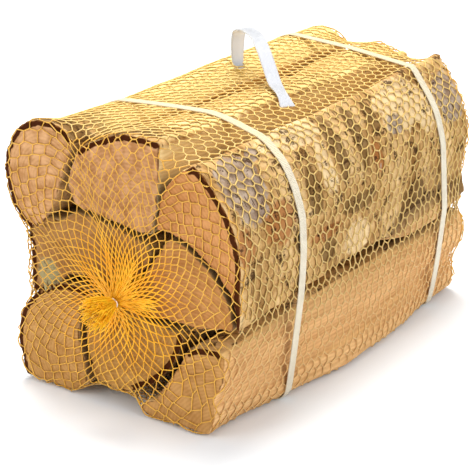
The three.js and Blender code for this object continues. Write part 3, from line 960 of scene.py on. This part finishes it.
def netMaterial():
    paint = Shader("net_thread")
    cloud = paint.noise(60, 2).step(0.3, 0.7)
    onEnd = paint.attribute("onEnd")
    # it hardly shows against the plain wood low down
    low = 1 - paint.parts()[2].step(0.045, 0.085)
    colour = paint.mix(low * 0.85, paint.mix(cloud, *net["straw"]), net["low"])
    colour = paint.mix(onEnd.step(0.3, 1), colour, paint.mix(cloud, *net["ochre"]))
    colour = paint.mix(paint.attribute("nearTie").step(0.1, 0.8), colour, paint.mix(cloud, *net["orange"]))
    # painted light: threads that face up are painted paler, away from the ends and the bottom
    upward = paint.facing()[2].step(0.1, 0.9)
    return paint.finish({
        "Base Color": paint.mix(upward * 0.6 * (1 - onEnd) * (1 - low), colour, net["upward"]),
        "Roughness": 0.42,
        "Specular IOR Level": 0.4,
    })


dress(netPiece, netMaterial())
handIn(netPiece, "net", "net")


# Tufts: the ends of the threads, past the clip at each end

tuft = {
    "strands": 230,
    "thickness": 0.5 * mm,
    "length": (20 * mm, 25.5 * mm),
    "flare": 12.0 * mm,
    "neck": 2.8 * mm,
    "clipBeyond": 2.7 * mm,
    "lean": (-2.0 * mm, -3.0 * mm),
    "points": 7,
    "folds": [
        # direction, strands, reach
        (58, 26, 30 * mm), (70, 14, 24 * mm), (0, 26, 30 * mm), (-9, 12, 20 * mm), (110, 10, 18 * mm),
    ],
    "foldSpread": 7,
    "orange": [(0.98, 0.50, 0.01), (1.0, 0.66, 0.03)],
}


def addStrand(curve, places):
    spline = curve.splines.new("POLY")
    spline.points.add(len(places) - 1)
    for point, place in zip(spline.points, places):
        point.co = (*place, 1)


def makeTuft(name, tie, way, seed):
    rng = random.Random(seed)
    half = stack["length"] / 2 + net["clearance"] + net["cone"]
    curve = bpy.data.curves.new(name, "CURVE")
    curve.dimensions = "3D"
    curve.bevel_depth = tuft["thickness"] / 2
    curve.bevel_resolution = 0
    curve.use_fill_caps = True
    shares = [k / (tuft["points"] - 1) for k in range(tuft["points"])]
    for _ in range(tuft["strands"]):
        angle = rng.uniform(0, 2 * math.pi)
        inner = math.sqrt(rng.random())
        length = rng.uniform(*tuft["length"])
        flare = tuft["flare"] * (0.2 + 0.8 * inner) * rng.uniform(0.9, 1.08)
        curl = rng.uniform(-0.3, 0.3)
        places = []
        for share in shares:
            along = -3 * mm + share * (length + 3 * mm)
            opened = max(0, (along - tuft["clipBeyond"]) / (length - tuft["clipBeyond"]))
            spread = tuft["neck"] * inner * (1 - opened) + flare * opened ** 0.85
            spread += max(0, -along) * 0.9
            turn = angle + curl * opened ** 1.5
            bend = opened ** 1.6
            places.append((
                tie[0] * mm + math.cos(turn) * spread + tuft["lean"][0] * bend,
                way * (half + along - 0.12 * spread * opened),
                tie[1] * mm + math.sin(turn) * spread + tuft["lean"][1] * bend,
            ))
        addStrand(curve, places)
    # thick folds of the net, which run from the neck out over the ends of the logs
    for direction, strands, reach in tuft["folds"]:
        for _ in range(strands):
            turn = math.radians(direction + rng.gauss(0, tuft["foldSpread"]))
            long = reach * rng.uniform(0.5, 1)
            lift = rng.uniform(0.2, 1.6) * mm
            places = []
            for share in shares:
                spread = tuft["neck"] * 0.8 + share * long
                sink = net["cone"] * math.exp(-7 * spread / (95 * mm))
                away = half - net["cone"] + sink + lift * (1 - share) + 0.3 * mm
                places.append((tie[0] * mm + math.cos(turn) * spread, way * away,
                               tie[1] * mm + math.sin(turn) * spread))
            addStrand(curve, places)
    piece = bpy.data.objects.new(name, curve)
    bpy.context.collection.objects.link(piece)
    activate(piece)
    bpy.ops.object.convert(target="MESH")
    piece = bpy.context.object
    bpy.ops.object.shade_smooth()
    return piece


# Clips: a soft metal wire, bent round the neck of the net and pressed shut

clip = {
    "radius": 3.5 * mm,
    "wire": 0.7 * mm,
    "turned": 410,
    "steps": 50,
    "merge": 0.001 * mm,
    "roundedEnd": 0.2 * mm,
    "squash": 0.9,
    "start": {"front": 150, "rear": -30},
    "metal": [(0.72, 0.73, 0.75), (0.86, 0.87, 0.88)],
}


def makeClip(end, way):
    deselectAll()
    bpy.ops.mesh.primitive_circle_add(
        vertices=10, radius=clip["wire"], location=(clip["radius"], 0, 0),
        rotation=(math.radians(90), 0, 0))
    piece = bpy.context.object
    piece.name = "clip_" + end + "_wire"
    bpy.ops.object.transform_apply()
    editAll(piece, bpy.ops.mesh.spin, steps=clip["steps"], angle=math.radians(clip["turned"]),
            center=(0, 0, 0), axis=(0, 0, 1))
    editAll(piece, bpy.ops.mesh.remove_doubles, threshold=clip["merge"])
    editAll(piece, bpy.ops.mesh.fill_holes, sides=0)
    editAll(piece, bpy.ops.mesh.normals_make_consistent, inside=False)
    applyModifier(piece, "BEVEL", width=clip["roundedEnd"], segments=2, limit_method="ANGLE")
    # the two ends pass each other, then the ring stands up round the neck
    points = pointsOf(piece)
    turned = np.degrees(np.arctan2(points[:, 1], points[:, 0])) % 360
    points[:, 2] += np.interp(turned, [0, 60, 180, 300, 360], [0.8, 0.7, 0, -0.7, -0.8]) * mm
    start = math.radians(clip["start"][end])
    flatX = points[:, 0] * math.cos(start) - points[:, 1] * math.sin(start)
    flatY = (points[:, 0] * math.sin(start) + points[:, 1] * math.cos(start)) * clip["squash"]
    tie = net["ties"][end]
    y = way * (stack["length"] / 2 + net["clearance"] + net["cone"] + tuft["clipBeyond"])
    placed = [flatX * -way + tie[0] * mm, y + points[:, 2], flatY + tie[1] * mm]
    movePoints(piece, np.stack(placed, axis=1))
    editAll(piece, bpy.ops.mesh.normals_make_consistent, inside=False)
    bpy.ops.object.shade_smooth_by_angle(angle=math.radians(50))
    return piece


# A tight loop round the net, without the dips between the logs
def strapLine(y, gap, count):
    wood = np.vstack([cloud, netGrid.reshape(-1, 3)])
    row, outward = hullRow(wood, y, 6 * mm, count, gap)
    return row[:, [0, 2]], outward


strap = {
    "places": {"strap_front": -85 * mm, "strap_rear": 120.5 * mm},
    "width": 7.4 * mm,
    "thickness": 0.72 * mm,
    "gap": 0.5 * mm,
    "steps": 420,
    "across": 8,
    "overlap": 0.055,
    "weldTurn": 0.62,
    "weave": 2.2 * mm,
    "cream": [(0.70, 0.61, 0.46), (0.78, 0.70, 0.54)],
    # darker colour for faces that look up: painted shade
    "upward": (0.66, 0.56, 0.33),
}


# A flat band along a line: a grid whose columns are moved onto it, then given its thickness
def makeBand(name, centres, widths, outwards, thickness, across, edge):
    steps = len(centres)
    deselectAll()
    bpy.ops.mesh.primitive_grid_add(x_subdivisions=steps - 1, y_subdivisions=across, size=2)
    piece = bpy.context.object
    piece.name = name
    flat = pointsOf(piece)
    column = np.round((flat[:, 0] + 1) / 2 * (steps - 1)).astype(int)
    side = flat[:, 1][:, None]
    movePoints(piece, centres[column] + widths[column] * side / 2)
    lengths = np.concatenate([[0], np.cumsum(np.linalg.norm(np.diff(centres, axis=0), axis=1))])
    storeNumbers(piece, "bandAlong", lengths[column])
    storeNumbers(piece, "bandAcross", flat[:, 1] * np.linalg.norm(widths[column], axis=1) / 2)
    storeNumbers(piece, "bandEdge", np.abs(flat[:, 1]))
    normals = normalsOf(piece)
    if np.sum(normals * outwards[column]) < 0:
        editAll(piece, bpy.ops.mesh.flip_normals)
    applyModifier(piece, "SOLIDIFY", thickness=thickness, offset=0, use_even_offset=True)
    applyModifier(piece, "BEVEL", width=edge, segments=2, limit_method="ANGLE",
                  angle_limit=math.radians(50))
    activate(piece)
    bpy.ops.object.shade_smooth_by_angle(angle=math.radians(50))
    return piece


def makeStrap(name, y):
    line, outward = strapLine(y, strap["gap"] + strap["thickness"] / 2, strap["steps"])
    start = int(strap["weldTurn"] * strap["steps"])
    line = np.roll(line, -start, axis=0)
    outward = np.roll(outward, -start, axis=0)
    spare = int(strap["overlap"] * strap["steps"])
    line = np.vstack([line, line[:spare]])
    outward = np.vstack([outward, outward[:spare]])
    order = np.arange(len(line))
    # the end lies over the start, where the two are welded
    over = smoothStep(strap["steps"] - spare * 0.6, strap["steps"], order)
    line = line + outward * (over * strap["thickness"] * 1.05)[:, None]
    line[:, 1] = np.maximum(line[:, 1], strap["thickness"] / 2 + 0.03 * mm)
    centres = np.stack([line[:, 0], np.full(len(line), y), line[:, 1]], axis=1)
    outwards = np.stack([outward[:, 0], np.zeros(len(line)), outward[:, 1]], axis=1)
    widths = np.tile([0, strap["width"], 0], (len(line), 1))
    return makeBand(name, centres, widths, outwards, strap["thickness"], strap["across"], 0.12 * mm)


handle = {
    "feet": ((-43, 30), (43, -28)),
    "thickness": 1.2 * mm,
    "widthAngles": (85, 57),
    "steps": 160,
    "across": 8,
    "ribs": 1.1 * mm,
    # plain colour of the plastic upright; the sloping, level and edge colours are painted shade
    "upright": (0.68, 0.70, 0.74),
    "slopingShade": (0.52, 0.54, 0.60),
    "level": (0.38, 0.395, 0.43),
    "cloud": (0.56, 0.58, 0.62),
    "edge": (0.42, 0.42, 0.42),
    "line": [
        # along, height, width
        (9, 197.2, 9), (3, 197.3, 9.5), (-0.4, 202, 11.5), (-0.6, 214, 12.5), (3, 224, 12.5),
        (14, 228.2, 11.5), (28, 229.2, 10.5), (40, 227.8, 10.5), (52, 222, 10.5), (64, 212.5, 10.5),
        (77, 202, 10), (88, 198.6, 8), (94, 196, 8.5), (101, 191.4, 11.5),
    ],
}


def smoothLine(points, count):
    points = np.array(points, dtype=float)
    gaps = np.sqrt(np.linalg.norm(np.diff(points, axis=0), axis=1))
    knots = np.concatenate([[0], np.cumsum(gaps)])
    slopes = np.gradient(points, knots, axis=0)
    places = np.linspace(0, knots[-1], count * 4)
    index = np.clip(np.searchsorted(knots, places, side="right") - 1, 0, len(points) - 2)
    width = (knots[index + 1] - knots[index])[:, None]
    t = ((places - knots[index])[:, None]) / width
    line = ((1 + 2 * t) * (1 - t) ** 2 * points[index] + t * (1 - t) ** 2 * width * slopes[index]
            + t * t * (3 - 2 * t) * points[index + 1] + t * t * (t - 1) * width * slopes[index + 1])
    lengths = np.concatenate([[0], np.cumsum(np.linalg.norm(np.diff(line[:, :2], axis=0), axis=1))])
    even = np.linspace(0, lengths[-1], count)
    return np.stack([np.interp(even, lengths, line[:, k]) for k in range(line.shape[1])], axis=1)


def makeHandle():
    (leftX, leftY), (rightX, rightY) = handle["feet"]
    span = math.hypot(rightX - leftX, rightY - leftY)
    way = np.array([(rightX - leftX) / span, (rightY - leftY) / span])
    line = smoothLine(handle["line"], handle["steps"])
    share = np.linspace(0, 1, handle["steps"])
    first, last = handle["widthAngles"]
    turn = np.radians(first + (last - first) * np.minimum(1, share * 2))
    x = leftX + way[0] * line[:, 0] + stack["centre"] / mm
    y = leftY + way[1] * line[:, 0]
    centres = np.stack([x, y, line[:, 1]], axis=1) * mm
    widths = np.stack([np.cos(turn), np.sin(turn), 0 * turn], axis=1) * line[:, 2:3] * mm
    run = np.gradient(line[:, :2], axis=0)
    outwards = np.stack([-run[:, 1] * way[0], -run[:, 1] * way[1], run[:, 0]], axis=1)
    return makeBand("carry_handle", centres, widths, outwards, handle["thickness"],
                    handle["across"], 0.3 * mm)


def tuftMaterial():
    paint = Shader("tuft_thread")
    colour = paint.mix(paint.noise(180, 2).step(0.3, 0.7), *tuft["orange"])
    return paint.finish({"Base Color": colour, "Roughness": 0.38})


def strapMaterial():
    paint = Shader("strap_plastic")
    along = paint.attribute("bandAlong") / strap["weave"]
    across = paint.attribute("bandAcross") / strap["weave"]
    weave = ((along + across) * 6.283).sine() * ((along - across) * 6.283).sine()
    colour = paint.mix(paint.noise(160, 3).step(0.3, 0.7), *strap["cream"])
    # painted shade: faces that look up are painted darker
    colour = paint.mix(paint.facing()[2].step(0.4, 0.95) * 0.75, colour, strap["upward"])
    return paint.finish({
        "Base Color": colour,
        "Roughness": 0.36,
        "Normal": paint.bump(weave, 0.00025, 0.8),
    })


def handleMaterial():
    paint = Shader("handle_plastic")
    cloud = paint.noise(90, 3)
    ribs = (paint.attribute("bandAcross") / handle["ribs"] * 6.283).sine()
    upward = paint.facing()[2]
    # painted shade: faces that look up are painted darker, the flattest darkest
    colour = paint.mix(upward.step(0.1, 0.8), handle["upright"], handle["slopingShade"])
    colour = paint.mix(upward.step(0.75, 1), colour, handle["level"])
    colour = paint.mix(cloud.step(0.3, 0.7) * 0.15, colour, handle["cloud"])
    # painted shade: the edges of the band are painted grey
    colour = paint.mix(paint.attribute("bandEdge").step(0.72, 1) * 0.6, colour, handle["edge"])
    return paint.finish({
        "Base Color": colour,
        "Roughness": 0.4 + cloud * 0.1,
        "Specular IOR Level": 0.25,
        "Subsurface Weight": 0.5,
        "Subsurface Radius": (1.0, 1.0, 1.0),
        "Subsurface Scale": 0.003,
        "Normal": paint.bump(ribs, 0.00012, 0.5),
    })


def clipMaterial():
    paint = Shader("clip_metal")
    scratches = paint.noise(900, 3)
    return paint.finish({
        "Base Color": paint.mix(scratches, *clip["metal"]),
        "Metallic": 1.0,
        "Roughness": 0.22 + scratches * 0.15,
        "Normal": paint.bump(scratches, 0.00005, 0.5),
    })


tuftPaint = tuftMaterial()
for end, way in (("front", -1), ("rear", 1)):
    strands = makeTuft("tuft_" + end, net["ties"][end], way, 5 + way)
    dress(strands, tuftPaint)
    handIn(strands, "net")
strapPaint = strapMaterial()
for name, y in strap["places"].items():
    band = makeStrap(name + "_band", y)
    dress(band, strapPaint)
    handIn(band, "strap", name)
band = makeHandle()
dress(band, handleMaterial())
handIn(band, "handle", "handle")
clipPaint = clipMaterial()
for end, way in (("front", -1), ("rear", 1)):
    wire = makeClip(end, way)
    dress(wire, clipPaint)
    handIn(wire, "clip", "clip_" + end)
print("tufts, straps and handle")
